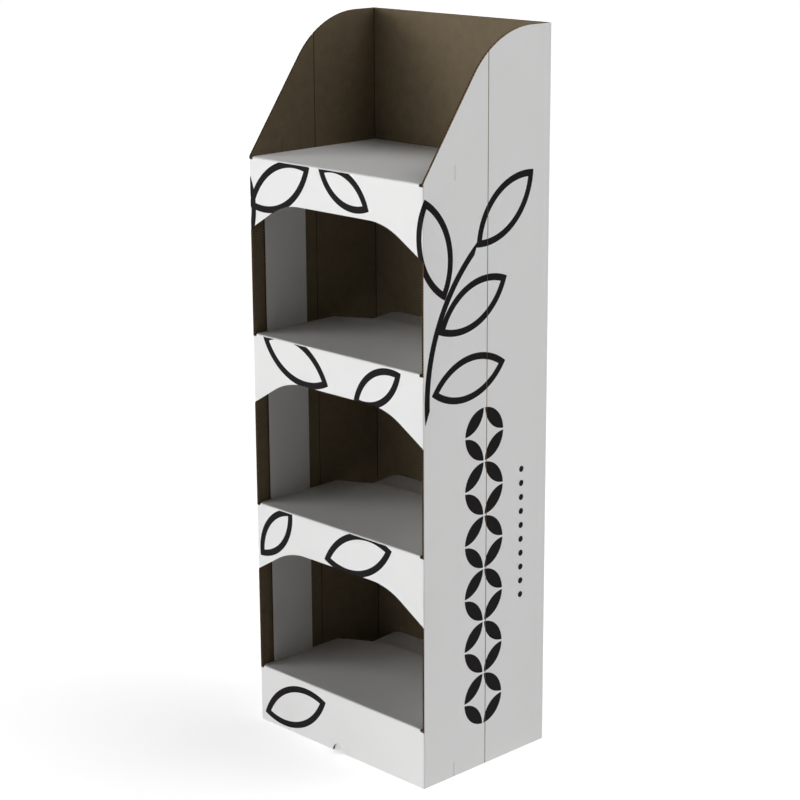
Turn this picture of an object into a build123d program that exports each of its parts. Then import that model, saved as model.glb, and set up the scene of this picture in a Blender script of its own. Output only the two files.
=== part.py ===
"""Floor display stand with four shelves, folded from single-wall corrugated board.

Millimetres, +Z up. The origin is on the floor in the middle of the footprint, and the
open front faces -Y.
"""

import os
from math import atan2, copysign, pi, radians, sqrt, tan

from build123d import *

os.makedirs("parts", exist_ok=True)

# Sleeve: the outer tube
width = 500.0
depth = 354.0
height = 1507.0
board = 5.0
seam_width = 35.0
seam_bevel = 12.0

# Shelves, from the base up
shelf_names = ["lower", "middle", "upper", "top"]
base_height = 127.0
shelf_pitch = 368.0

# Arched window above each window shelf
window_height = 281.5
arch_rise = 62.5
arch_slope = 31.0
arch_radius = 165.0

# Header of the side walls: a slant that would reach the top this far back, and its bend
header_run = 197.5
header_radius = 200.0

# Folds, creases and knife cuts
fold_radius = 3.5
crease_depth = 1.2
inner_crease_depth = 0.8
cut_gap = 1.0
relief_width = 6.0
slit_width = 0.8
slit_length = 31.0
slit_drop = 3.0
notch_radius = 17.5
notch_offset = -4.0

# Shelf supports: a deck, two legs and a tongue
leg_setback = 29.5
leg_width = 112.0
leg_clearance = 0.5
foot_radius = 5.0
tongue_width = 368.0
tongue_corner = 16.0
tongue_clearance = 0.6
root_radius = 18.0

# Planes and levels that several pieces share
front = -depth / 2
back = depth / 2
wall_inside = width / 2 - board
back_inside = back - board
shelf_half = wall_inside - cut_gap
knee = width / 2 - arch_rise / tan(radians(arch_slope))
window_foot = window_height - arch_rise
shelf_levels = [base_height + shelf_pitch * step for step in range(len(shelf_names))]
top_level = shelf_levels[-1]
shelf_reach = window_height - cut_gap
leg_middle = front + leg_setback + leg_width / 2
# A fold bends about the middle of its arc, so a cut on the same line ends a little behind it
cut_setback = fold_radius * (1 - pi / 4)
near = board / 10


def arch_points(half_span, flat):
    """Left foot, two knees and right foot of the window's arch."""
    foot = flat - (half_span - knee) * tan(radians(arch_slope))
    return [(-half_span, foot), (-knee, flat), (knee, flat), (half_span, foot)]


def edges_at(edges, axis, places):
    """Edges that lie at one of the given places along an axis."""
    found = ShapeList()
    for place in places:
        found += edges.filter_by_position(axis, place - near, place + near)
    return found


# Sleeve with its shelves
with BuildPart() as sleeve:
    # Side walls: straight up to the top shelf, then a slant that rounds into the top edge
    header_turn = atan2(height - top_level, header_run)
    brow_radius = min(header_radius, (depth - header_run) / tan(header_turn / 2))
    for side in (-1, 1):
        with BuildSketch(Plane.YZ.offset(side * width / 2)) as wall_outline:
            with BuildLine():
                Polyline(
                    (front, 0),
                    (front, top_level),
                    (front + header_run, height),
                    (back, height),
                    (back, 0),
                    close=True,
                )
            make_face()
            brow = wall_outline.vertices().sort_by_distance((front + header_run, height))[0]
            fillet(brow, brow_radius)
        extrude(amount=-side * board)

    # Back wall
    with BuildSketch(Plane.XZ.offset(-back)):
        with Locations((0, height / 2)):
            Rectangle(width, height)
    extrude(amount=board)

    # Glued seam: a bevelled flap of the back wall on the inside of the right side wall
    with BuildSketch(Plane.YZ.offset(wall_inside)):
        with BuildLine():
            Polyline(
                (back_inside, 0),
                (back_inside, height),
                (back_inside - seam_width, height - seam_bevel),
                (back_inside - seam_width, seam_bevel),
                close=True,
            )
        make_face()
    extrude(amount=-board)

    # Base apron with its thumb notch
    with BuildSketch(Plane.XZ.offset(-front)):
        with Locations((0, base_height / 2)):
            Rectangle(width, base_height)
        with Locations((notch_offset, 0)):
            Circle(notch_radius, mode=Mode.SUBTRACT)
    extrude(amount=-board)

    # Arched aprons, each between a window and the shelf above it
    for floor_level in shelf_levels[:-1]:
        apron_top = floor_level + shelf_pitch
        arch = arch_points(width / 2, floor_level + window_height)
        with BuildSketch(Plane.XZ.offset(-front)) as apron_outline:
            with BuildLine():
                Polyline((-width / 2, apron_top), *arch, (width / 2, apron_top), close=True)
            make_face()
            fillet(apron_outline.vertices().group_by(Axis.Y)[1], arch_radius)
        extrude(amount=-board)

    # Window shelves: each is the piece cut out of its window, folded in
    for level in shelf_levels[:-1]:
        arch = arch_points(shelf_half, front + shelf_reach)
        with BuildSketch(Plane.XY.offset(level)) as shelf_outline:
            with BuildLine():
                Polyline((-shelf_half, front), *arch, (shelf_half, front), close=True)
            make_face()
            fillet(shelf_outline.vertices().group_by(Axis.Y)[-1], arch_radius)
        extrude(amount=-board)

    # Top shelf: full depth, with its rear right corner cut away round the seam
    with BuildSketch(Plane.XY.offset(top_level)):
        with Locations((-shelf_half, front)):
            Rectangle(2 * shelf_half, depth - board - cut_gap, align=(Align.MIN, Align.MIN))
        with Locations((shelf_half, back_inside)):
            Rectangle(
                board,
                seam_width + cut_gap,
                align=(Align.MAX, Align.MAX),
                mode=Mode.SUBTRACT,
            )
    extrude(amount=-board)

    # Knife cuts on the corner folds beside each opening, and the relief at each shelf's ends
    for level in shelf_levels:
        opening_top = height if level == top_level else level + window_foot
        with BuildSketch(Plane.XZ.offset(-front)):
            for side in (-1, 1):
                with Locations((side * width / 2, level - board)):
                    Rectangle(2 * board, opening_top - level + board, align=(Align.CENTER, Align.MIN))
        extrude(amount=-cut_setback, mode=Mode.SUBTRACT)
        with BuildSketch(Plane.XZ.offset(-front)):
            for side in (-1, 1):
                with Locations((side * (wall_inside - relief_width / 2), level - board / 2)):
                    Rectangle(relief_width, board)
        extrude(amount=-board - cut_gap, mode=Mode.SUBTRACT)

    # Creases down the middle of both side walls, so that the tube can fold flat. Each is a
    # square bar's corner pressed into the face.
    with BuildSketch(Plane.XY):
        for face, groove in ((width / 2, crease_depth), (wall_inside, inner_crease_depth)):
            with Locations((-face, 0), (face, 0)):
                Rectangle(groove * sqrt(2), groove * sqrt(2), rotation=45)
    extrude(amount=height, mode=Mode.SUBTRACT)

    # Short slits at the legs' middle line, at the bottom edge and beside the top shelf
    with BuildSketch(Plane.YZ):
        for foot in (0, top_level - slit_drop):
            with Locations((leg_middle, foot)):
                Rectangle(slit_width, slit_length, align=(Align.CENTER, Align.MIN))
    extrude(amount=width / 2, both=True, mode=Mode.SUBTRACT)

    # Rounded folds: the tube's corners where the board turns, and each shelf's front edge. At
    # the seam the back wall turns inside the right side wall, whose rear edge stays raw.
    front_folds = [(0, base_height - board)]
    for level in shelf_levels[:-1]:
        front_folds.append((level + window_foot, level + shelf_pitch - board))
    back_folds = [(0, height)]
    for corner_y, right_turn, folds in (
        (front, width / 2, front_folds),
        (back, wall_inside, back_folds),
    ):
        bend_y = corner_y - copysign(fold_radius, corner_y)
        for bottom, top in folds:
            with BuildSketch(Plane.XY.offset(bottom)):
                for corner_x in (-width / 2, right_turn):
                    bend_x = corner_x - copysign(fold_radius, corner_x)
                    with Locations(((corner_x + bend_x) / 2, (corner_y + bend_y) / 2)):
                        Rectangle(fold_radius, fold_radius)
                    with Locations((bend_x, bend_y)):
                        Circle(fold_radius, mode=Mode.SUBTRACT)
            extrude(amount=top - bottom, mode=Mode.SUBTRACT)
    shelf_folds = edges_at(sleeve.edges().filter_by(Axis.X), Axis.Y, (front,))
    fillet(edges_at(shelf_folds, Axis.Z, shelf_levels), fold_radius)

sleeve.part.label = "sleeve"
export_step(sleeve.part, "parts/sleeve.step")


def fold_support(shelf_level, foot_level, tongue_rise):
    """One bridge: a deck under its shelf, two legs and a tongue to the back wall."""
    deck_top = shelf_level - board
    leg_face = wall_inside - leg_clearance
    tongue_end = back_inside - tongue_clearance
    bend = front + window_height
    with BuildPart() as support:
        # Flat blank of the deck and the first stretch of the tongue
        with BuildSketch(Plane.XY.offset(deck_top)) as blank:
            with Locations((0, leg_middle)):
                Rectangle(2 * leg_face, leg_width)
            with Locations((0, leg_middle)):
                Rectangle(tongue_width, bend - leg_middle, align=(Align.CENTER, Align.MIN))
            roots = blank.vertices().group_by(Axis.Y)[1].sort_by(Axis.X)[1:-1]
            fillet(roots, root_radius)
        extrude(amount=-board)

        # Rear stretch of the tongue, which may rise to the back wall
        with BuildSketch(Plane.YZ):
            with BuildLine():
                Polyline(
                    (bend, deck_top),
                    (tongue_end, deck_top + tongue_rise),
                    (tongue_end, deck_top + tongue_rise - board),
                    (bend, deck_top - board),
                    close=True,
                )
            make_face()
        extrude(amount=tongue_width / 2, both=True)

        # Legs with rounded feet
        for side in (-1, 1):
            with BuildSketch(Plane.YZ.offset(side * leg_face)) as leg_outline:
                with Locations((leg_middle, foot_level)):
                    Rectangle(leg_width, deck_top - foot_level, align=(Align.CENTER, Align.MIN))
                fillet(leg_outline.vertices().group_by(Axis.Y)[0], foot_radius)
            extrude(amount=-side * board)

        # Rounded folds at the deck's ends and rounded corners at the tongue's end
        fold_lines = edges_at(support.edges().filter_by(Axis.Y), Axis.X, (-leg_face, leg_face))
        fillet(edges_at(fold_lines, Axis.Z, (deck_top,)), fold_radius)
        tips = edges_at(support.edges().filter_by(Axis.Z), Axis.Y, (tongue_end,))
        fillet(tips, tongue_corner)
    return support.part


# Supports, from the base up; only the one under the full-depth top shelf stays flat
floor_levels = [0.0] + shelf_levels[:-1]
for shelf_name, shelf_level, foot_level in zip(shelf_names, shelf_levels, floor_levels):
    rise = 0.0 if shelf_level == top_level else board
    bridge = fold_support(shelf_level, foot_level, rise)
    bridge.label = f"{shelf_name}_shelf_support"
    export_step(bridge, f"parts/{bridge.label}.step")
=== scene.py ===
# %% [markdown]
# # A floor display folded from corrugated board
# The real stand is five sheets of corrugated board. One is the sleeve: a tall tube with
# four shelves folded in through its windows. The other four are bridges that hold the
# shelves up. Every cut edge of such a sheet shows how it is made: two thin papers with a
# wavy one between them. So this lesson doesn't just paint that edge. It builds all three
# papers.

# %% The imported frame
from itertools import pairwise
from math import atan2, cos, pi, radians, sin, sqrt, tan

import bmesh
import bpy
from mathutils import Matrix, Vector


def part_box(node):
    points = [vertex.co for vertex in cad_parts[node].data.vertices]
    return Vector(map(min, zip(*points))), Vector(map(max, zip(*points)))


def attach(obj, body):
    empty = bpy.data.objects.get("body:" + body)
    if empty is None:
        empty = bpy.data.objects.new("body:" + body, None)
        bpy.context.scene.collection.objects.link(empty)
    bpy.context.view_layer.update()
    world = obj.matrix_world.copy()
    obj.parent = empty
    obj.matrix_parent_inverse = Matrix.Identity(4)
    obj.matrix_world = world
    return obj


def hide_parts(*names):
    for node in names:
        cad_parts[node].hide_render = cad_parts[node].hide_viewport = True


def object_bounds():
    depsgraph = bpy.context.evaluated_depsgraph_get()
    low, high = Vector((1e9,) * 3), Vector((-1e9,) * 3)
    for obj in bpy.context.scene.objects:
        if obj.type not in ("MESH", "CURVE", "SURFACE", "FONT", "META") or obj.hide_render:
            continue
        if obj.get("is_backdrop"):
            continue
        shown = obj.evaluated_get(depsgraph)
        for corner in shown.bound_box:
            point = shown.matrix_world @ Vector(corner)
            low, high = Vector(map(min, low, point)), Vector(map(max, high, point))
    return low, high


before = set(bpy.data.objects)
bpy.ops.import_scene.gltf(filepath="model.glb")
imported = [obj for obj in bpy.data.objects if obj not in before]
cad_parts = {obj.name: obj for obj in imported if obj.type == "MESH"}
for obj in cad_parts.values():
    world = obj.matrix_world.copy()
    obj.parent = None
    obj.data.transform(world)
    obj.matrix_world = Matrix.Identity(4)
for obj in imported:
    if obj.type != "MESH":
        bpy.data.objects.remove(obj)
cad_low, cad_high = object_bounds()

print("nodes in the frame:", ", ".join(sorted(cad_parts)))

# %% [markdown]
# ## Sizes
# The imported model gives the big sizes: the outside of the sleeve, and where each bridge
# stands. A bridge stands on the shelf below it, so its foot is that shelf's level. The
# small sizes of the board, its folds and its cuts are named here in millimetres. The wavy
# paper, here called the medium, is made thicker than a real one, so that it still shows in
# a cut edge from a few metres away.

# %% Sizes from the frame, and the board's own
MM = 0.001
SHELVES = ("lower", "middle", "upper", "top")

sleeve_low, sleeve_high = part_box("sleeve")
HALF = sleeve_high.x
FRONT = sleeve_low.y
BACK = sleeve_high.y
TOP = sleeve_high.z
BOARD = 5 * MM
bridge_boxes = [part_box(f"{name}_shelf_support") for name in SHELVES]
LEVELS = [low.z for low, high in bridge_boxes[1:]] + [bridge_boxes[-1][1].z + BOARD]

LINER = 0.45 * MM
MEDIUM = 1.0 * MM
USUAL_PITCH = 6 * MM
FLUTES = round(TOP / USUAL_PITCH)
PITCH = TOP / FLUTES
FOLD = 2.5 * MM
PINCH = 0.3 * MM
FOLD_FOOT = 5.5 * MM
CUT_GAP = 1 * MM
SEAM = 35 * MM
print(f"sleeve {2 * HALF:.3f} x {BACK - FRONT:.3f} x {TOP:.3f} m, {FLUTES} flutes up its side")
print("shelf levels:", ", ".join(f"{level:.3f}" for level in LEVELS))

# %% [markdown]
# ## Camera
# The photograph looks at the front right corner from a little above. The camera stands
# where its straight edges meet in the same places as in the photograph: turned 45.7
# degrees round the stand, 15.2 degrees above the horizon, on a long lens.

# %% Camera
VIEW_TURN = radians(45.732)
VIEW_RISE = radians(15.196)
VIEW_ROLL = radians(-0.291)
VIEW_FROM = Vector((3.0852, -3.0036, 1.9016))
LENS = 97.27
SENSOR = 36

backwards = Vector(
    (sin(VIEW_TURN) * cos(VIEW_RISE), -cos(VIEW_TURN) * cos(VIEW_RISE), sin(VIEW_RISE))
)
level_right = Vector((cos(VIEW_TURN), sin(VIEW_TURN), 0))
level_up = backwards.cross(level_right)
right = cos(VIEW_ROLL) * level_right + sin(VIEW_ROLL) * level_up
up = cos(VIEW_ROLL) * level_up - sin(VIEW_ROLL) * level_right

camera = bpy.data.objects.new("camera", bpy.data.cameras.new("camera"))
camera.data.lens = LENS
camera.data.sensor_width = SENSOR
turned = Matrix((right, up, backwards)).transposed().to_4x4()
camera.matrix_world = Matrix.Translation(VIEW_FROM) @ turned
bpy.context.scene.collection.objects.link(camera)
bpy.context.scene.camera = camera
print("camera stands", round((VIEW_FROM - Vector((0, 0, TOP / 2))).length, 2), "m from the stand")

# %% [markdown]
# ## Blocks of paper
# Each paper layer is gathered from small closed blocks. Where two blocks meet, both have
# the same face, and that face is inside the paper. So a face that comes a second time is
# taken out again, and what is left is one closed skin with true cut edges. A block that
# has shrunk to nothing, as where a slanted cut passes it, adds no face at all. Each face
# also gets a paint, a number that will stand for its finish. A block that lies deep, nearer
# the inside face of the board, has a paint of its own for its cut edges.
# That paint lets the wavy paper's cut edge there be painted dark, as painted shade.

# %% Blocks of paper
POINT_STEP = 1e-6
# The crest paint is raw paper painted lighter, as painted light; the hollow paint is painted nearly
# black, as painted shade
PRINTED, PLAIN, KRAFT, CUT, HOLLOW, LIT_CREST, DEEP_CUT = range(7)
printed_board = (PRINTED, HOLLOW, CUT)
plain_board = (PLAIN, HOLLOW, CUT)


class Paper:
    """Gathers the skin of one paper layer from closed blocks."""

    def __init__(self):
        self.numbers = {}
        self.points = []
        self.faces = {}

    def number(self, point):
        key = tuple(round(c / POINT_STEP) for c in point)
        if key not in self.numbers:
            self.numbers[key] = len(self.points)
            self.points.append(point)
        return self.numbers[key]

    def face(self, corners, paint):
        ring = list(dict.fromkeys(corners))
        key = frozenset(ring)
        if key in self.faces:
            del self.faces[key]
        elif len(ring) > 2:
            self.faces[key] = (ring, paint)

    def block(self, four_edges, paints):
        """Closes a block between four edges, each an outer and an inner point."""
        (a, e), (b, f), (c, g), (d, h) = [[self.number(p) for p in edge] for edge in four_edges]
        outside, inside, cut = paints
        self.face((a, b, c, d), outside)
        self.face((e, f, g, h), inside)
        for ring in ((a, b, f, e), (b, c, g, f), (c, d, h, g), (d, a, e, h)):
            self.face(ring, cut)

    def lay(self, rows, depths, board_at):
        """Joins each row of edges to the next one wherever board_at gives paints."""
        for step, (low, high) in enumerate(pairwise(rows)):
            # Paper in the middle of the board has four depths that add up to two boards
            deep = sum(depths[step] + depths[step + 1]) > 2 * BOARD - POINT_STEP
            for place in range(len(low) - 1):
                paints = board_at(step, place)
                if paints:
                    outside, inside, cut = paints
                    # A deep block's cut edge gets the paint that the tables turn into painted shade
                    # for the wavy paper
                    paints = (outside, inside, DEEP_CUT if deep else cut)
                    self.block((low[place], low[place + 1], high[place + 1], high[place]), paints)

    def repaint(self, paints):
        """Swaps each face's paint for another."""
        self.faces = {key: (ring, paints[paint]) for key, (ring, paint) in self.faces.items()}

    def piece(self, name, finishes, smooth_below):
        """Makes the Blender object, smooth where its faces turn less than the given angle."""
        mesh = bpy.data.meshes.new(name)
        rings, paints = zip(*self.faces.values())
        mesh.from_pydata(self.points, [], rings)
        for finish in finishes:
            mesh.materials.append(finish.material)
        mesh.polygons.foreach_set("material_index", paints)
        skin = bmesh.new()
        skin.from_mesh(mesh)
        bmesh.ops.delete(skin, geom=[v for v in skin.verts if not v.link_faces], context="VERTS")
        bmesh.ops.recalc_face_normals(skin, faces=skin.faces)
        skin.to_mesh(mesh)
        skin.free()
        mesh.shade_smooth()
        mesh.set_sharp_from_angle(angle=smooth_below)
        made = bpy.data.objects.new(name, mesh)
        bpy.context.scene.collection.objects.link(made)
        triangles = sum(len(face.vertices) - 2 for face in mesh.polygons)
        print(f"{name}: {triangles} triangles")
        return made


# %% [markdown]
# ## The three layers of the board
# A layer is known by how deep it lies below the outside face. The two liners lie at fixed
# depths. The fluting between them swings from one to the other as a wave, whose length is
# the flute pitch. In a fold the flutes are crushed, so there the wave has no height.

# %% The three layers of the board
WAVE_STEPS = 8
CROWDED = 1 / 6
SWING = BOARD / 2 - LINER - MEDIUM / 2


def outer_liner(travel, fullness):
    return 0, LINER


def inner_liner(travel, fullness):
    return BOARD - LINER, BOARD


def fluting(travel, fullness):
    """Outer and inner depth of the wavy paper after so much travel across the flutes."""
    turn = 2 * pi * travel / PITCH
    middle = BOARD / 2 - fullness * SWING * cos(turn)
    slope = fullness * SWING * 2 * pi / PITCH * sin(turn)
    half = MEDIUM / 2 * sqrt(1 + slope**2)
    return middle - half, middle + half


def wave_places(start, end, kept):
    """The places that must be kept, and the wave's samples that don't crowd them."""
    step = PITCH / WAVE_STEPS
    places = set(kept)
    for index in range(int(start / step), int(end / step) + 1):
        place = (index + 0.5) * step
        if start < place < end and all(abs(place - other) > CROWDED * step for other in kept):
            places.add(place)
    return sorted(places)


print(f"flute pitch {PITCH / MM:.2f} mm, wave height {2 * SWING / MM:.2f} mm")

# %% [markdown]
# ## Folds
# A fold turns the board from one face to the next. Its outside is an arc. Deeper in the
# board the arc gets smaller, and at the inside face it is nearly a sharp corner. One
# formula does for the tube's corners, the shelves' front edges and the bridges' ends. The
# fluting in the tube's corners is hidden, so there it turns in fewer steps.

# %% Folds
FOLD_STEPS = 6
FOLD_TURNS = [radians(90) * step / FOLD_STEPS for step in range(FOLD_STEPS + 1)]
HIDDEN_TURNS = FOLD_TURNS[::3]


def bend_radius(depth):
    return max(FOLD - depth, PINCH)


def fold_point(corner, first, second, turn, depth):
    """A point in a fold, turned from the first face's outward direction to the second's."""
    radius = bend_radius(depth)
    return tuple(
        corner[k] - (depth + radius) * (first[k] + second[k])
        + radius * (cos(turn) * first[k] + sin(turn) * second[k])
        for k in (0, 1)
    )


print(f"fold: {FOLD / MM:.1f} mm round at the outside face, {PINCH / MM:.1f} mm at the inside face")

# %% [markdown]
# ## The outline of the sleeve's blank
# The knife cuts are described as functions of the height. The arch over a window is flat
# in the middle, then an arc, then a slant down to the corner. The header of the side wall
# is a slant that rounds into the top edge. At the bottom there is a round thumb notch.

# %% Window arch
WINDOW = 281.5 * MM
ARCH_RISE = 62.5 * MM
ARCH_SLOPE = radians(31)
ARCH_RADIUS = 165 * MM
ARCH_STEPS = 8

WINDOW_FOOT = WINDOW - ARCH_RISE
arch_knee = HALF - ARCH_RISE / tan(ARCH_SLOPE)
arch_flat = arch_knee - ARCH_RADIUS * tan(ARCH_SLOPE / 2)
arch_turns = [ARCH_SLOPE * step / ARCH_STEPS for step in range(ARCH_STEPS + 1)]
arch_drops = [ARCH_RADIUS * (1 - cos(turn)) for turn in arch_turns]


def arch_half(drop):
    """Half the width of the arch at this drop below its flat top."""
    if drop < arch_drops[-1]:
        return arch_flat + sqrt(ARCH_RADIUS**2 - (ARCH_RADIUS - drop) ** 2)
    return arch_knee + drop / tan(ARCH_SLOPE)


def arch_drop(half):
    """The drop at which the slanted stretch of the arch is this wide."""
    return (half - arch_knee) * tan(ARCH_SLOPE)


print(f"arch: flat for {2 * arch_flat:.3f} m, then {ARCH_RISE:.4f} m down to the corners")

# %% Header of the side walls
HEADER_RUN = 197.5 * MM
HEADER_RADIUS = 200 * MM
HEADER_STEPS = 24

header_rise = TOP - LEVELS[-1]
header_turn = atan2(header_rise, HEADER_RUN)
header_tangent = HEADER_RADIUS * tan(header_turn / 2)
header_centre = (FRONT + HEADER_RUN + header_tangent, TOP - HEADER_RADIUS)
header_bend = TOP - header_tangent * sin(header_turn)


def header_knife(height):
    """How far back the header's cut edge lies at this height."""
    if height <= LEVELS[-1]:
        return FRONT
    if height < header_bend:
        return FRONT + (height - LEVELS[-1]) * HEADER_RUN / header_rise
    return header_centre[0] - sqrt(max(0, HEADER_RADIUS**2 - (height - header_centre[1]) ** 2))


def knife_height(place):
    """The height at which the header's cut edge passes this place."""
    slanted = LEVELS[-1] + (place - FRONT) * header_rise / HEADER_RUN
    if slanted < header_bend:
        return slanted
    return header_centre[1] + sqrt(HEADER_RADIUS**2 - (header_centre[0] - place) ** 2)


header_heights = [
    header_centre[1] + HEADER_RADIUS * cos(header_turn * (1 - step / HEADER_STEPS))
    for step in range(HEADER_STEPS + 1)
]
print(f"header: the slant bends at {header_bend:.3f} m and ends at y {header_centre[0]:.3f} m")

# %% Slits, notch and the glued flap
KNIFE_SETBACK = 0.75 * MM
SLIT = 0.8 * MM
SLIT_LENGTH = 31 * MM
SLIT_TAPER = 1 * MM
SLIT_DROP = 3 * MM
NOTCH_RADIUS = 17.5 * MM
NOTCH_MIDDLE = -4 * MM
NOTCH_STEPS = 8
SEAM_BEVEL = 12 * MM
OUTER_CREASE = 1.9 * MM
INNER_CREASE = 1.8 * MM

bridge_low, bridge_high = bridge_boxes[-1]
LEG_WIDTH = 112 * MM
leg_middle = bridge_low.y + LEG_WIDTH / 2
slit_spans = [(0, SLIT_LENGTH), (LEVELS[-1] - SLIT_DROP, LEVELS[-1] - SLIT_DROP + SLIT_LENGTH)]


def slit_half(height):
    """Half the width of the slit at this height. It is pointed, and open at the floor."""
    for low, high in slit_spans:
        if low <= height <= high:
            below = (height - low) / SLIT_TAPER if low else 1
            return SLIT / 2 * min(1, below, (high - height) / SLIT_TAPER)
    return 0


def notch_half(height):
    return sqrt(max(0, NOTCH_RADIUS**2 - height**2))


def flap_end(height):
    """How far the glued flap reaches from the back wall at this height."""
    share = min(1, height / SEAM_BEVEL, (TOP - height) / SEAM_BEVEL)
    return BACK - BOARD - SEAM * share


print("slits from height to height:", [[round(end, 3) for end in span] for span in slit_spans])

# %% [markdown]
# ## The sleeve's walls
# Seen from above, the sleeve is a chain of upright lines: up the right wall's rear edge,
# along the wall to the front fold, round it, across the front, round the left fold, and
# so on to the flap that is glued inside the right wall. Each line says where it is at a
# given height and depth, and where there is board between it and the next line.

# %% Where the front is cut open
shelf_edge = HALF - BOARD - CUT_GAP
relief_edge = HALF - 2 * BOARD - CUT_GAP


def front_open(height):
    """True beside a window, where the front is cut away and the shelf is folded in."""
    beside = any(level - FOLD_FOOT < height < level + WINDOW_FOOT for level in LEVELS[:-1])
    return beside or height > LEVELS[-1] - FOLD_FOOT


def front_solid(height):
    return not front_open(height)


def middle_solid(height):
    arched = any(level + WINDOW_FOOT < height < level + WINDOW for level in LEVELS[:-1])
    return front_solid(height) and not arched


def arch_at(height):
    """Half the width of the opening at this height of the front."""
    for level in LEVELS[:-1]:
        if level + WINDOW_FOOT <= height <= level + WINDOW:
            return arch_half(level + WINDOW - height)
    return arch_flat


def always(height):
    return True


def never(height):
    return False


print(f"each shelf's ends are cut free up to {HALF - relief_edge:.3f} m from the side walls")

# %% The chain of upright lines
LEFT, RIGHT = -1, 1


def wall_line(side, place):
    """A line on a side wall. It never stands in front of the header's cut edge."""

    def line(height, depth):
        return side * (HALF - depth), max(place(height, depth), header_knife(height))

    return line


def front_line(side, reach):
    """A line on the front, outside the arch and inside the rounded corner."""

    def line(height, depth):
        corner = HALF - depth - bend_radius(depth)
        return side * min(corner, max(reach, arch_at(height))), FRONT + depth

    return line


def past_front_fold(height, depth):
    return FRONT + depth + bend_radius(depth)


def notch_line(side):
    def line(height, depth):
        return NOTCH_MIDDLE + side * notch_half(height), FRONT + depth

    return line


def fold_line(corner, first, second, turn):
    def line(height, depth):
        return fold_point(corner, first, second, turn, depth)

    return line


def flap_line(height, depth):
    tangent = BACK - depth - bend_radius(depth)
    return HALF - BOARD - depth, min(tangent, flap_end(height))


def side_lines(side, crease):
    """A side wall from its rear end to its front fold, with its crease and its slits."""
    rear = BACK if side == RIGHT else BACK - BOARD
    lines = []
    if crease:
        lines.append((wall_line(side, lambda height, depth: crease / 2), never))
        lines.append((wall_line(side, lambda height, depth: -crease / 2), always))
    lines.append((wall_line(side, lambda height, depth: leg_middle + slit_half(height)), never))
    lines.append((wall_line(side, lambda height, depth: leg_middle - slit_half(height)), always))
    lines.append((wall_line(side, past_front_fold), front_open))
    lines.append((wall_line(side, lambda height, depth: FRONT + KNIFE_SETBACK), never))
    return lines


def sleeve_lines(crease, turns):
    """The whole chain: each line with the test for board after it, and its paints."""
    ahead, behind, leftwards, rightwards = (0, -1), (0, 1), (-1, 0), (1, 0)
    chain = [(wall_line(RIGHT, lambda height, depth: BACK), always, printed_board)]
    chain += [(line, board, printed_board) for line, board in side_lines(RIGHT, crease)]
    for turn in turns:
        line = fold_line((HALF, FRONT), rightwards, ahead, turn)
        chain.append((line, front_solid, printed_board))
    chain.append((front_line(RIGHT, relief_edge), front_solid, printed_board))
    chain.append((front_line(RIGHT, arch_flat), middle_solid, printed_board))
    chain.append((notch_line(RIGHT), never, printed_board))
    chain.append((notch_line(LEFT), middle_solid, printed_board))
    chain.append((front_line(LEFT, arch_flat), front_solid, printed_board))
    chain.append((front_line(LEFT, relief_edge), front_solid, printed_board))
    for turn in reversed(turns):
        line = fold_line((-HALF, FRONT), leftwards, ahead, turn)
        chain.append((line, front_solid if turn else never, printed_board))
    left_wall = side_lines(LEFT, crease)
    boards = [board for line, board in left_wall]
    for (line, board), following in zip(reversed(left_wall), reversed([always] + boards[:-1])):
        chain.append((line, following, printed_board))
    for turn in turns:
        line = fold_line((-HALF, BACK), leftwards, behind, turn)
        chain.append((line, always, plain_board))
    for turn in reversed(turns):
        line = fold_line((HALF - BOARD, BACK), rightwards, behind, turn)
        chain.append((line, always, plain_board))
    chain.append((flap_line, never, plain_board))
    return chain


print("lines round the sleeve:", len(sleeve_lines(OUTER_CREASE, FOLD_TURNS)))

# %% Heights at which the blank's outline turns
def knife_heights():
    heights = {0, TOP, SEAM_BEVEL, TOP - SEAM_BEVEL, header_bend, LEVELS[-1]}
    for level in LEVELS:
        heights.add(level - FOLD_FOOT)
    for level in LEVELS[:-1]:
        flat = level + WINDOW
        heights.add(level + WINDOW_FOOT)
        heights.update(flat - drop for drop in arch_drops)
        heights.update(flat - arch_drop(half) for half in (relief_edge, HALF - FOLD))
    for low, high in slit_spans:
        heights.update((low, low + SLIT_TAPER, high - SLIT_TAPER, high))
    for step in range(NOTCH_STEPS + 1):
        heights.add(NOTCH_RADIUS * sin(radians(90) * step / NOTCH_STEPS))
    heights.update(header_heights)
    for place in (FRONT + FOLD, leg_middle, -OUTER_CREASE / 2, OUTER_CREASE / 2):
        heights.add(knife_height(place))
    return sorted(heights)


blank_heights = knife_heights()
print("heights at which the outline turns:", len(blank_heights))

# %% Laying the walls
def lay_walls(paper, layer, heights, crease):
    """Lays one layer of the sleeve's walls, from the floor to the top edge."""
    chain = sleeve_lines(crease, HIDDEN_TURNS if layer is fluting else FOLD_TURNS)
    depths = [layer(height, 1) for height in heights]
    rows = [
        [[(*line(height, depth), height) for depth in pair] for line, _, _ in chain]
        for height, pair in zip(heights, depths)
    ]
    middles = [(low + high) / 2 for low, high in pairwise(heights)]

    def board_at(step, place):
        _, board, paints = chain[place]
        return paints if board(middles[step]) else None

    paper.lay(rows, depths, board_at)


# %% [markdown]
# ## The shelves
# A window shelf is the very piece that was cut out of the window above it, so its outline
# is the arch turned over. It hangs on the apron by a fold. The top shelf covers the whole
# depth, with one corner cut away for the glued flap. Every shelf is cut free at its ends.

# %% The shelves
TOP_SHELF_END = BACK - BOARD - CUT_GAP
FLAP_NOTCH = BACK - BOARD - SEAM - CUT_GAP
relief_end = FRONT + BOARD + CUT_GAP
window_shelf_end = FRONT + WINDOW - CUT_GAP


def shelf_half_at(level, place):
    """Half the width of the shelf at this distance back."""
    if level == LEVELS[-1] or place <= FRONT:
        return shelf_edge
    return min(shelf_edge, arch_half(max(0, window_shelf_end - place)))


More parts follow.
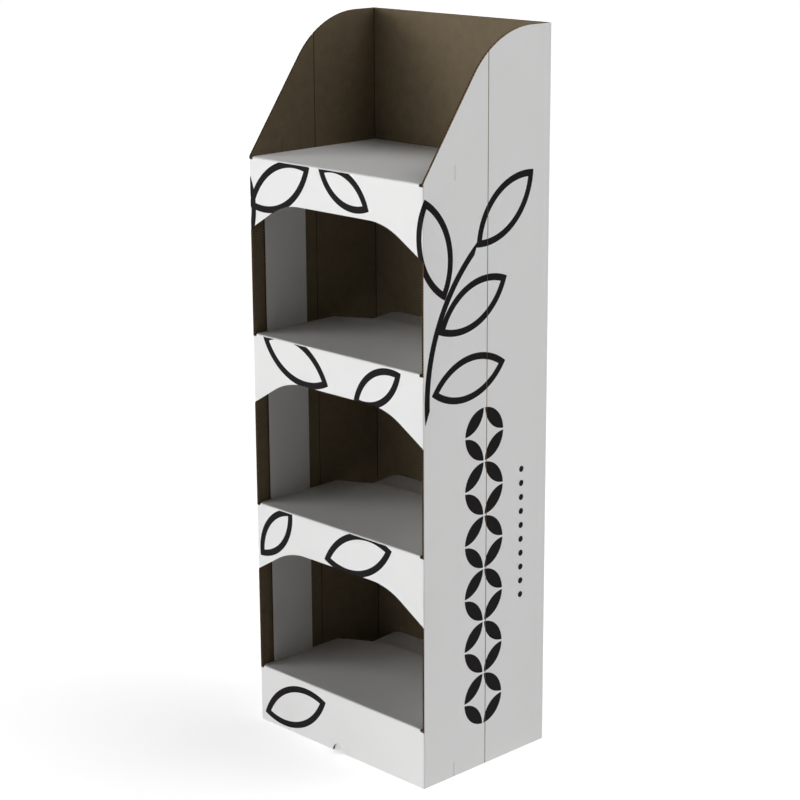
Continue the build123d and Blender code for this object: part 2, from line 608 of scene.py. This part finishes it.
def shelf_places(level, waved):
    """Distances back at which a shelf has a row of edges."""
    if level == LEVELS[-1]:
        kept = [relief_end, FLAP_NOTCH, TOP_SHELF_END]
    else:
        corners = [arch_drop(shelf_edge), arch_drop(relief_edge), *arch_drops]
        kept = [relief_end, *sorted(window_shelf_end - drop for drop in corners)]
    if not waved:
        return kept
    travels = wave_places(0, kept[-1] - relief_end, [place - relief_end for place in kept])
    return [relief_end + travel for travel in travels]


def lay_shelf(paper, layer, level):
    """Lays one layer of a shelf, from the top of its apron over the fold and back."""
    left_reaches = (-shelf_edge, -relief_edge, -arch_flat)
    right_reaches = (arch_flat, relief_edge, shelf_edge)
    reaches = (*left_reaches, NOTCH_MIDDLE, *right_reaches)
    rows = []
    depths = []
    middles = []

    def add_row(profile, travel, fullness):
        row = []
        depths.append(layer(travel, fullness))
        ends = [profile(depth) for depth in depths[-1]]
        for reach in reaches:
            edge = []
            for y, z in ends:
                half = shelf_half_at(level, y)
                edge.append((max(-half, min(half, reach)), y, z))
            row.append(edge)
        rows.append(row)
        middles.append(ends[0][0])

    add_row(lambda depth: (FRONT + depth, level - FOLD_FOOT), level - FOLD_FOOT, 1)
    for turn in FOLD_TURNS:
        add_row(lambda depth: fold_point((FRONT, level), (-1, 0), (0, 1), turn, depth), 0, 0)
    for place in shelf_places(level, layer is fluting):
        travel = place - relief_end
        add_row(lambda depth: (place, level - depth), travel + PITCH / 4, min(1, travel / PITCH))

    def board_at(step, place):
        middle = (middles[step] + middles[step + 1]) / 2
        at_end = place in (0, len(reaches) - 2)
        if at_end and middle < relief_end:
            return None
        if place == len(reaches) - 2 and level == LEVELS[-1] and middle > FLAP_NOTCH:
            return None
        return printed_board if step == 0 else plain_board

    paper.lay(rows, depths, board_at)


print(f"a window shelf reaches {window_shelf_end - FRONT:.4f} m back from the front")

# %% [markdown]
# ## The bridges
# A bridge is a long strip: up one leg, over the deck and down the other leg. A tongue
# sticks out behind the deck and runs to the back wall. Under a window shelf it rises a
# little behind the shelf's end, so that both lie level where they reach the back wall.

# %% The bridges
TONGUE_HALF = 184 * MM
TONGUE_CORNER = 16 * MM
ROOT_RADIUS = 18 * MM
FOOT_RADIUS = 5 * MM
ROUND_STEPS = 6
round_turns = [radians(90) * step / ROUND_STEPS for step in range(ROUND_STEPS + 1)]


def bridge_root(place, leg_rear):
    """Where the deck's rear edge lies, with its rounded root beside the tongue."""
    inside = ROOT_RADIUS - min(ROOT_RADIUS, max(0, abs(place) - TONGUE_HALF))
    return leg_rear + ROOT_RADIUS - sqrt(ROOT_RADIUS**2 - inside**2)


def tongue_end(place, end):
    """Where the tongue ends, with its rounded corners."""
    over = max(0, abs(place) - (TONGUE_HALF - TONGUE_CORNER))
    return end - TONGUE_CORNER + sqrt(max(0, TONGUE_CORNER**2 - over**2))


def deck_places(edge, waved):
    """Places across the deck, from fold to fold."""
    half = [0]
    half += [TONGUE_HALF - TONGUE_CORNER * (1 - sin(turn)) for turn in round_turns]
    half += [TONGUE_HALF + ROOT_RADIUS * (1 - cos(turn)) for turn in round_turns]
    kept = sorted({round(side * place, 6) for place in half for side in (-1, 1)} | {-edge, edge})
    if not waved:
        return kept
    travels = wave_places(0, 2 * edge, [place + edge for place in kept])
    return [travel - edge for travel in travels]


def leg_places(foot, head, waved):
    """Heights up a leg, from its rounded foot to the fold."""
    kept = [foot + FOOT_RADIUS * (1 - cos(turn)) for turn in round_turns] + [head]
    return wave_places(foot, head, kept) if waved else kept


def lay_bridge(paper, layer, low, high, rise):
    """Lays one layer of a bridge from the left foot over the deck to the right foot."""
    face = high.x
    deck = high.z - rise
    leg_front, leg_rear = low.y, low.y + LEG_WIDTH
    shoulder = deck - FOLD_FOOT
    bend = FRONT + WINDOW
    waved = layer is fluting
    rows = []
    depths = []
    places = []

    def lifted(y):
        return rise * max(0, y - bend) / (high.y - bend)

    def add_row(profile, travel, fullness, cuts, place):
        depths.append(layer(travel, fullness))
        ends = [profile(depth) for depth in depths[-1]]
        rows.append([[(x, y, z + lifted(y)) for x, z in ends] for y in cuts])
        places.append(place)

    def leg_row(side, height):
        inside = FOOT_RADIUS - min(FOOT_RADIUS, height - low.z)
        round_off = FOOT_RADIUS - sqrt(FOOT_RADIUS**2 - inside**2)
        rear = leg_rear - round_off
        cuts = (leg_front + round_off, rear, rear, rear)
        add_row(lambda depth: (side * (face - depth), height), height, 1, cuts, (side, height))

    def fold_row(side, turn):
        cuts = (leg_front, leg_rear, leg_rear, leg_rear)

        def profile(depth):
            return fold_point((side * face, deck), (side, 0), (0, 1), turn, depth)

        add_row(profile, 0, 0, cuts, (side, "fold", turn))

    def deck_row(place, with_tongue):
        root = bridge_root(place, leg_rear)
        cuts = (leg_front, root, root, root)
        if with_tongue:
            cuts = (leg_front, root, bend, tongue_end(place, high.y))
        margin = face - FOLD_FOOT - abs(place)
        add_row(lambda depth: (place, deck - depth), place, min(1, margin / PITCH), cuts, place)

    leg_heights = leg_places(low.z, shoulder, waved)
    for height in leg_heights:
        leg_row(-1, height)
    for turn in FOLD_TURNS:
        fold_row(-1, turn)
    for place in deck_places(face - FOLD_FOOT, waved):
        on_tongue = abs(place) <= TONGUE_HALF
        at_side = abs(abs(place) - TONGUE_HALF) < POINT_STEP
        if at_side and place < 0:
            deck_row(place, False)
        deck_row(place, on_tongue or at_side)
        if at_side and place > 0:
            deck_row(place, False)
    for turn in reversed(FOLD_TURNS):
        fold_row(1, turn)
    for height in reversed(leg_heights):
        leg_row(1, height)

    def board_at(step, place):
        wide = any(row[place][0][1] < row[place + 1][0][1] for row in (rows[step], rows[step + 1]))
        return plain_board if wide and places[step] != places[step + 1] else None

    paper.lay(rows, depths, board_at)


print(f"bridges: legs {LEG_WIDTH:.3f} m wide, tongues {2 * TONGUE_HALF:.3f} m wide")

# %% [markdown]
# ## Finishes as expressions
# A finish is a small program that runs at each point of the surface. Written with nodes it
# is hard to read, so two helpers let Python write it. A Wire is one socket, and adding or
# multiplying wires adds the Math nodes. A Finish makes any other node: first its settings,
# then its sockets.

# %% Wires and finishes
class Wire:
    """A node's socket that can be used like a number in an expression."""

    def __init__(self, finish, socket):
        self.finish = finish
        self.socket = socket

    def output(self, name):
        return Wire(self.finish, self.socket.node.outputs[name])

    def maths(self, operation, *values):
        return self.finish.node("ShaderNodeMath", {"operation": operation}, dict(enumerate(values)))

    def __add__(self, other):
        return self.maths("ADD", self, other)

    __radd__ = __add__

    def __sub__(self, other):
        return self.maths("SUBTRACT", self, other)

    def __rsub__(self, other):
        return self.maths("SUBTRACT", other, self)

    def __mul__(self, other):
        return self.maths("MULTIPLY", self, other)

    __rmul__ = __mul__

    def __truediv__(self, other):
        return self.maths("DIVIDE", self, other)

    def __mod__(self, other):
        return self.maths("FLOORED_MODULO", self, other)

    def __pow__(self, other):
        return self.maths("POWER", self, other)

    def __abs__(self):
        return self.maths("ABSOLUTE", self)

    def __gt__(self, other):
        return self.maths("GREATER_THAN", self, other)

    def __lt__(self, other):
        return self.maths("LESS_THAN", self, other)

    def largest(self, other):
        return self.maths("MAXIMUM", self, other)

    def smallest(self, other):
        return self.maths("MINIMUM", self, other)

    def root(self):
        return self.maths("SQRT", self)

    def wave(self):
        return self.maths("SINE", self)

    def held(self):
        """The value, held between 0 and 1."""
        return self.largest(0).smallest(1)


class Finish:
    """A node tree with one method that adds any node to it."""

    def __init__(self, name, owner=None):
        self.material = owner or bpy.data.materials.new(name)
        self.material.use_nodes = True
        self.tree = self.material.node_tree
        self.tree.nodes.clear()

    def node(self, kind, settings=None, inputs=None):
        made = self.tree.nodes.new(kind)
        for name, value in (settings or {}).items():
            setattr(made, name, value)
        for key, value in (inputs or {}).items():
            by_name = [s for s in made.inputs if s.name == key and s.enabled]
            socket = by_name[0] if by_name else made.inputs[key]
            if isinstance(value, Wire):
                self.tree.links.new(value.socket, socket)
            else:
                socket.default_value = value
        shown = [socket for socket in made.outputs if socket.enabled]
        return Wire(self, shown[0]) if shown else made

    def blend(self, share, first, second):
        """A colour between two colours."""
        inputs = {"Factor": share, "A": first, "B": second}
        return self.node("ShaderNodeMix", {"data_type": "RGBA"}, inputs)

    def place(self):
        """The point on the object, in metres."""
        return self.node("ShaderNodeTexCoord").output("Object")

    def axes(self):
        split = self.node("ShaderNodeSeparateXYZ", None, {0: self.place()})
        return split.output("X"), split.output("Y"), split.output("Z")

    def clouds(self, size, detail=2.0, stretch=(1, 1, 1)):
        """Random clouds from 0 to 1. The size is that of one cloud, in metres."""
        factors = {0: self.place(), 1: stretch}
        where = self.node("ShaderNodeVectorMath", {"operation": "MULTIPLY"}, factors)
        inputs = {"Vector": where, "Scale": 1 / size, "Detail": detail}
        return self.node("ShaderNodeTexNoise", None, inputs)

    def seen(self):
        """1 for what the camera sees, also by way of a mirror or glass, and 0 for light."""
        rays = self.node("ShaderNodeLightPath")
        glossy, through = rays.output("Is Glossy Ray"), rays.output("Is Transmission Ray")
        return rays.output("Is Camera Ray").largest(glossy).largest(through)

    def close(self, colour, roughness, height, bump_depth, specular=0.2):
        """Ends the finish: colour, roughness, and a height that only bends the light."""
        relief = {"Distance": bump_depth, "Strength": 1, "Height": height}
        bump = self.node("ShaderNodeBump", None, relief)
        inputs = {"Base Color": colour, "Roughness": roughness, "Normal": bump}
        inputs["Specular IOR Level"] = specular
        surface = self.node("ShaderNodeBsdfPrincipled", None, inputs)
        self.node("ShaderNodeOutputMaterial", None, {"Surface": surface})
        return self


# %% [markdown]
# ## White paper and brown paper
# The outside liner is white and nearly even, with a fine grain. Its printed face is the
# lightest; its plain faces and the bridges are painted greyer, as painted shade for the bays.
# The inside liner is brown kraft: cloudy, with fibres that run up the sheet, a few dark
# specks, and a faint washboard where the flutes pull it in. Along the inner corner of the rear
# left fold it has a thin dark line with small nicks, partly a crack and partly painted shade.
# The rest is raw paper: brown at a liner's cut edge, painted lighter at the wavy paper's outer
# crests as painted light, and painted nearly black in its hollows as painted shade, where no
# light gets in.

# %% White paper and brown paper
PRINT_WHITE = (0.91, 0.91, 0.905, 1)
# The plain white and the bridges' white are the printed white painted greyer, as painted shade for
# the bays; the back's outside gets the plain grey too
SHADED_LINER_WHITE = (0.77, 0.77, 0.765, 1)
SHADED_BRIDGE_WHITE = (0.70, 0.70, 0.695, 1)
WHITE_DIP = 0.94
KRAFT_LIGHT = (0.192, 0.149, 0.091, 1)
KRAFT_DARK = (0.107, 0.082, 0.048, 1)
# The dark of the specks, also used for the painted shade line in the rear left fold
SPECK_AND_FOLD_SHADE = (0.045, 0.034, 0.022, 1)
RAW_LIGHT = (0.20, 0.115, 0.055, 1)
RAW_DARK = (0.12, 0.065, 0.03, 1)
# Raw paper painted lighter at the wavy paper's outer crests, as painted light, and nearly black in
# the flutes' hollows, as painted shade
CREST_LIGHT = (0.44, 0.265, 0.125, 1)
CREST_DARK = (0.31, 0.18, 0.08, 1)
SHADE_LIGHT = (0.034, 0.023, 0.014, 1)
SHADE_DARK = (0.016, 0.011, 0.007, 1)
INK = (0.0125, 0.0105, 0.0112, 1)
INK_EDGE = 0.4 * MM
# Width of the dark line in the rear left fold: partly a crack, partly painted shade
FOLD_SHADE_CRACK = 1.1 * MM


def inked(distance):
    """Ink from 0 to 1, full where the distance is below zero."""
    return (0.5 - distance / INK_EDGE).held()


def peaks(cloud, level, steepness):
    """0 where the cloud is below the level, and 1 a little above it."""
    return ((cloud - level) * steepness).held()


def white_paper(finish, white):
    """The colour, roughness and grain of a white liner."""
    cloud = finish.clouds(50 * MM)
    grain = finish.clouds(0.6 * MM)
    shaded = (*(WHITE_DIP * channel for channel in white[:3]), 1)
    colour = finish.blend(0.35 * cloud + 0.25 * grain, white, shaded)
    return colour, 0.55 + 0.15 * grain, grain


def plain_white(name, white):
    finish = Finish(name)
    colour, roughness, grain = white_paper(finish, white)
    return finish.close(colour, roughness, grain, 0.04 * MM)


def kraft_paper():
    finish = Finish("kraft_liner")
    x, y, z = finish.axes()
    cloud = finish.clouds(25 * MM, 3.0)
    fibre = finish.clouds(1.5 * MM, 2.0, (1, 1, 0.15))
    washboard = 0.5 + 0.5 * (z * (2 * pi / PITCH)).wave()
    share = (0.55 * cloud + 0.45 * fibre + 0.10 * washboard - 0.05).held()
    colour = finish.blend(share, KRAFT_LIGHT, KRAFT_DARK)
    speck = peaks(finish.clouds(4 * MM, 1.0), 0.76, 30)
    nick = peaks(finish.clouds(9 * MM, 1.0, (0, 0, 1)), 0.6, 12)
    # A thin dark line with nicks in the inner corner of the rear left fold: partly a crack, partly
    # painted shade in that corner
    aside, behind = x + (HALF - BOARD), y - (BACK - BOARD)
    fold_shade_crack = inked((aside * aside + behind * behind).root() - (1 + nick) * FOLD_SHADE_CRACK)
    colour = finish.blend(speck.largest(fold_shade_crack), colour, SPECK_AND_FOLD_SHADE)
    return finish.close(colour, 0.75 + 0.15 * fibre, fibre + 0.4 * washboard, 0.08 * MM)


def raw_paper(name, light, dark):
    """Unbleached paper with a fine grain."""
    finish = Finish(name)
    grain = finish.clouds(0.8 * MM, 3.0)
    colour = finish.blend(grain, light, dark)
    return finish.close(colour, 0.85 + 0.1 * grain, grain, 0.05 * MM)


# %% [markdown]
# ## The print
# The stand is printed in one black, in bold shapes. The print is drawn on the unrolled
# sheet: across is the distance from the middle of the front, running on round the corner
# on to the side walls, and z is the height. A shape is a distance to its edge, and ink
# lies where that distance is small enough. The design is a plain leaf pattern: sprigs of
# outlined leaves, and on each side wall a band of filled leaf tiles with a row of dots.

# %% Shapes of the print
STROKE = 14 * MM


def leaf(across, z, middle, length, width, lean):
    """The outline of a pointed leaf, which leans so many degrees from upright."""
    turn = radians(lean)
    from_middle = across - middle[0] * MM
    above = z - middle[1] * MM
    along = from_middle * sin(turn) + above * cos(turn)
    aside = abs(from_middle * cos(turn) - above * sin(turn))
    half_length, half_width = length * MM / 2, width * MM / 2
    radius = (half_length**2 + half_width**2) / (2 * half_width)
    aside = aside + (radius - half_width)
    edge = (along * along + aside * aside).root() - radius
    return inked(abs(edge + STROKE / 2) - STROKE / 2)


def stem(across, z, centre, radius, middle_turn, half_turn):
    """An arc of stem. Its turns are in degrees from the right, anticlockwise."""
    aside = across - centre[0] * MM
    above = z - centre[1] * MM
    ring = abs((aside * aside + above * above).root() - radius * MM) - STROKE / 2
    turn = radians(middle_turn)
    kept = radius * MM * cos(radians(half_turn)) - (aside * cos(turn) + above * sin(turn))
    return inked(ring.largest(kept))


# %% The print on the unrolled sheet
LEAF = (210, 92)
SMALL_LEAF = (160, 72)
side_leaves = [
    ((476, 1158), LEAF, 50),
    ((281, 1101), LEAF, -15),
    ((387, 979), LEAF, 65),
    ((376, 834), LEAF, 80),
]
front_leaves = [
    ((-160, 1178), LEAF, 62),
    ((30, 1196), SMALL_LEAF, -64),
    ((-120, 826), LEAF, -70),
    ((120, 812), SMALL_LEAF, 58),
    ((-190, 440), SMALL_LEAF, 40),
    ((60, 452), LEAF, 72),
    ((-140, 60), LEAF, 68),
]
STEM = ((640, 800), 380, 157, 27)
BAND = (364 * MM, 477 * MM)
TILE = (BAND[1] - BAND[0]) / 2
TILE_ROWS = 12
BAND_FOOT = 90 * MM
BAND_HEIGHTS = (BAND_FOOT, BAND_FOOT + TILE_ROWS * TILE)
TILE_LEAF = (0.66, 0.26)
DOT = 13 * MM
DOT_PITCH = 30 * MM
DOT_LINE = 530 * MM
DOT_HEIGHTS = (330 * MM, 630 * MM)


def between(value, low, high):
    return (value > low) * (value < high)


def tile_band(around, z):
    """Two columns of filled leaves, each turned across its neighbour."""
    column = (around - BAND[0]) / TILE
    row = (z - BAND_FOOT) / TILE
    across = column % 1 - 0.5
    up = row % 1 - 0.5
    chequer = (column - across + row - up) % 2
    turned = 1 - 2 * between(chequer, 0.5, 1.5)
    along = (across * turned + up) * sqrt(0.5)
    aside = abs(across * turned - up) * sqrt(0.5)
    half_length, half_width = TILE_LEAF
    radius = (half_length**2 + half_width**2) / (2 * half_width)
    aside = aside + (radius - half_width)
    edge = (along * along + aside * aside).root() - radius
    return inked(edge * TILE) * between(around, *BAND) * between(z, *BAND_HEIGHTS)


def dot_line(around, z):
    up = (z - DOT_HEIGHTS[0]) % DOT_PITCH - DOT_PITCH / 2
    aside = around - DOT_LINE
    dot = inked((up * up + aside * aside).root() - DOT / 2)
    return dot * between(z, *DOT_HEIGHTS)


def printed_white():
    finish = Finish("printed_liner")
    x, y, z = finish.axes()
    around = abs(x) + (y - FRONT)
    across = around * ((x > 0) * 2 - 1)
    ink = stem(around, z, *STEM)
    for middle, size, lean in side_leaves:
        ink = ink.largest(leaf(around, z, middle, *size, lean))
    for middle, size, lean in front_leaves:
        ink = ink.largest(leaf(across, z, middle, *size, lean))
    ink = ink.largest(tile_band(around, z)).largest(dot_line(around, z))
    colour, roughness, grain = white_paper(finish, PRINT_WHITE)
    colour = finish.blend(ink, colour, INK)
    return finish.close(colour, roughness - 0.1 * ink, grain, 0.04 * MM, specular=0.04)


print("leaves on each side:", len(side_leaves), "and in front:", len(front_leaves))

# %% [markdown]
# ## Building the papers
# Now the three papers of the sleeve are laid, each in its own piece, and together they
# stand in for the imported sleeve. Then come the three papers of each bridge. All of them lie
# within their packed boards. A table for each layer turns its paints into finishes. The
# wavy paper's cut edge is painted light at the outer crests, as painted light, and dark where
# it lies deep, as painted shade, so a cut edge of the board shows as a row of light and dark
# dashes. The faces toward the flutes' hollows are painted dark as shade too.

# %% The sleeve's papers
SMOOTH_LINER = radians(30)
SMOOTH_FLUTING = radians(65)
sleeve_coats = [
    printed_white(),
    plain_white("white_liner_painted_shade", SHADED_LINER_WHITE),
    kraft_paper(),
    raw_paper("cut_edge", RAW_LIGHT, RAW_DARK),
    raw_paper("flute_hollow_painted_shade", SHADE_LIGHT, SHADE_DARK),
    raw_paper("flute_crest_painted_light", CREST_LIGHT, CREST_DARK),
]
# The tables paint the faces inside the board that face the flutes, and the wavy paper's deep half,
# nearly black as painted shade, and its outer crests and outer side lighter as painted light
outer_paints = {PRINTED: PRINTED, PLAIN: PLAIN, HOLLOW: HOLLOW, CUT: CUT}
brown_inner_paints = {PRINTED: HOLLOW, PLAIN: HOLLOW, HOLLOW: KRAFT, DEEP_CUT: CUT}
white_inner_paints = {PLAIN: HOLLOW, HOLLOW: PLAIN, DEEP_CUT: CUT}
fluting_paints = {PRINTED: LIT_CREST, PLAIN: LIT_CREST, HOLLOW: HOLLOW, CUT: LIT_CREST, DEEP_CUT: HOLLOW}


def dress(piece, node):
    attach(piece, "root")
    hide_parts(node)


for name, layer, crease, paints in (
    ("outer_liner", outer_liner, OUTER_CREASE, outer_paints),
    ("inner_liner", inner_liner, INNER_CREASE, brown_inner_paints),
    ("fluting", fluting, None, fluting_paints),
):
    waved = layer is fluting
    paper = Paper()
    lay_walls(paper, layer, wave_places(0, TOP, blank_heights) if waved else blank_heights, crease)
    for level in LEVELS:
        lay_shelf(paper, layer, level)
    paper.repaint(paints)
    piece = paper.piece(f"sleeve_{name}", sleeve_coats, SMOOTH_FLUTING if waved else SMOOTH_LINER)
    dress(piece, "sleeve")

# %% The bridges' papers
# The bridges' white is painted greyer than the print, as painted shade under the shelves
shaded_bridge_white = plain_white("bridge_liner_painted_shade", SHADED_BRIDGE_WHITE)
bridge_coats = [sleeve_coats[PRINTED], shaded_bridge_white, *sleeve_coats[KRAFT:]]
for shelf, (low, high) in zip(SHELVES, bridge_boxes):
    rise = 0 if shelf == "top" else BOARD
    for name, layer, paints in (
        ("top_liner", outer_liner, outer_paints),
        ("bottom_liner", inner_liner, white_inner_paints),
        ("fluting", fluting, fluting_paints),
    ):
        paper = Paper()
        lay_bridge(paper, layer, low, high, rise)
        paper.repaint(paints)
        smooth = SMOOTH_FLUTING if layer is fluting else SMOOTH_LINER
        piece = paper.piece(f"{shelf}_bridge_{name}", bridge_coats, smooth)
        dress(piece, f"{shelf}_shelf_support")

# %% [markdown]
# ## Floor and light
# The light comes from a few soft bright places in the sky. The strongest stand low in
# front, so the front is the lightest face and its light runs straight into the bays, past
# their shelves. Weaker ones light the sides, the back and the top. The camera sees plain
# white instead of that sky. The floor glows a little for the camera alone, which makes it
# white too and still leaves the stand's soft shadow on it.

# %% Floor
FLOOR_REACH = 15
FLOOR_WHITE = (0.9, 0.9, 0.9, 1)
FLOOR_GLOW = 0.6

floor_mesh = bpy.data.meshes.new("floor")
floor_mesh.from_pydata(
    [(x * FLOOR_REACH, y * FLOOR_REACH, 0) for x, y in ((-1, -1), (1, -1), (1, 1), (-1, 1))],
    [],
    [(0, 1, 2, 3)],
)
floor = bpy.data.objects.new("floor", floor_mesh)
bpy.context.scene.collection.objects.link(floor)

floor_finish = Finish("floor")
paint = floor_finish.node("ShaderNodeBsdfDiffuse", None, {"Color": FLOOR_WHITE})
glow = floor_finish.node("ShaderNodeEmission", None, {"Strength": floor_finish.seen() * FLOOR_GLOW})
both = floor_finish.node("ShaderNodeAddShader", None, {0: paint, 1: glow})
floor_finish.node("ShaderNodeOutputMaterial", None, {"Surface": both})
floor_mesh.materials.append(floor_finish.material)
floor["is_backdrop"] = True
print("floor", 2 * FLOOR_REACH, "m wide")

# %% Light
# Each soft light: how strong, how far turned round the stand from its front, how high
SOFT_LIGHTS = (
    (13.2, -45, 3),
    (3.4, -15, 3),
    (4.7, 112, 5),
    (2.9, -140, 3),
    (1.7, 180, 3),
    (4.7, 135, 60),
)
LIGHT_FOCUS = 24

world = bpy.data.worlds.new("studio")
bpy.context.scene.world = world
dome = Finish("studio", world)
way = dome.node("ShaderNodeTexCoord").output("Generated")
light = 0
for strength, turn, rise in SOFT_LIGHTS:
    turn, rise = radians(turn), radians(rise)
    towards = (sin(turn) * cos(rise), -cos(turn) * cos(rise), sin(rise))
    facing = dome.node("ShaderNodeVectorMath", {"operation": "DOT_PRODUCT"}, {0: way, 1: towards})
    light = light + strength * facing.output("Value").largest(0) ** LIGHT_FOCUS
brightness = light + dome.seen() * (1 - light)
sky = {"Color": (1, 1, 1, 1), "Strength": brightness}
background = dome.node("ShaderNodeBackground", None, sky)
dome.node("ShaderNodeOutputWorld", None, {"Surface": background})
bpy.context.scene.view_settings.view_transform = "Standard"
print("soft lights:", len(SOFT_LIGHTS))

# %% [markdown]
# ## Closing
# The size of what is shown is gathered beside the size of the imported model, so that the
# two can be compared.

# %% Closing
low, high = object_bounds()
sizes = {"cad": [list(cad_low), list(cad_high)], "visual": [list(low), list(high)]}
print("shown box:", [round(c, 4) for c in (*low, *high)])
